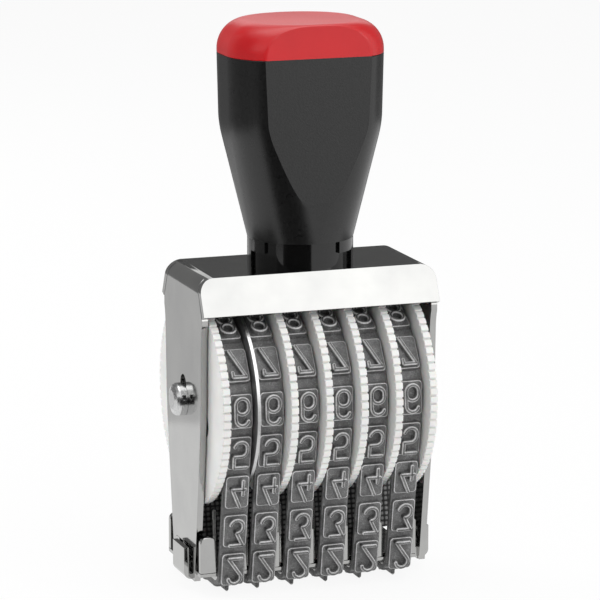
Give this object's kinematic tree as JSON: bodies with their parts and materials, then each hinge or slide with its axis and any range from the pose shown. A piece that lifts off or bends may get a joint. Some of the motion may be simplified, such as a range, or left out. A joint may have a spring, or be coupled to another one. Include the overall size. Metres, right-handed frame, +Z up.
{
  "type": "numbering machine",
  "caption": "Hand numbering stamp: rubber number bands set by toothed thumb wheels in a bent steel frame under an upright capped handle.",
  "frame": {"origin": "middle of the printing faces, on the surface that the stamp stands on", "axes": "+Z up through the handle, +X to the right along the axle, -Y to the front"},
  "size_m": [0.0426, 0.0332, 0.0889],
  "materials": {
    "nickel_steel": "nickel plated, satin",
    "axle_steel": "bright turned",
    "wheel_plastic": "moulded, satin",
    "separator_steel": "satin",
    "band_rubber": "vulcanised, matt",
    "collar_plastic": "moulded, gloss",
    "grip_plastic": "moulded, satin",
    "cap_plastic": "moulded, gloss",
    "screw_steel": "zinc plated"
  },
  "bodies": {
    "root": {"frame": "nickel_steel", "axle": "axle_steel", "axle_cap": "axle_steel", "axle_spacer": "axle_steel", "separator_disc": "separator_steel", "band_1": "band_rubber", "band_2": "band_rubber", "band_3": "band_rubber", "band_4": "band_rubber", "band_5": "band_rubber", "band_6": "band_rubber", "platen": "nickel_steel", "guide_comb": "nickel_steel", "handle_collar": "collar_plastic", "handle_screw": "screw_steel", "screw_washer": "screw_steel", "handle_grip": "grip_plastic", "handle_cap": "cap_plastic"},
    "thumb_wheel_1": {"wheel_1": "wheel_plastic"},
    "thumb_wheel_2": {"wheel_2": "wheel_plastic"},
    "thumb_wheel_3": {"wheel_3": "wheel_plastic"},
    "thumb_wheel_4": {"wheel_4": "wheel_plastic"},
    "thumb_wheel_5": {"wheel_5": "wheel_plastic"},
    "thumb_wheel_6": {"wheel_6": "wheel_plastic"}
  },
  "joints": [
    {"name": "wheel_1_turn", "type": "hinge", "parent": "root", "child": "thumb_wheel_1", "pos_m": [-0.01463, 0, 0.03], "axis": [1, 0, 0], "continuous": true},
    {"name": "wheel_2_turn", "type": "hinge", "parent": "root", "child": "thumb_wheel_2", "pos_m": [-0.00942, 0, 0.03], "axis": [1, 0, 0], "continuous": true},
    {"name": "wheel_3_turn", "type": "hinge", "parent": "root", "child": "thumb_wheel_3", "pos_m": [-0.00373, 0, 0.03], "axis": [1, 0, 0], "continuous": true},
    {"name": "wheel_4_turn", "type": "hinge", "parent": "root", "child": "thumb_wheel_4", "pos_m": [0.00198, 0, 0.03], "axis": [1, 0, 0], "continuous": true},
    {"name": "wheel_5_turn", "type": "hinge", "parent": "root", "child": "thumb_wheel_5", "pos_m": [0.00768, 0, 0.03], "axis": [1, 0, 0], "continuous": true},
    {"name": "wheel_6_turn", "type": "hinge", "parent": "root", "child": "thumb_wheel_6", "pos_m": [0.01337, 0, 0.03], "axis": [1, 0, 0], "continuous": true}
  ]
}
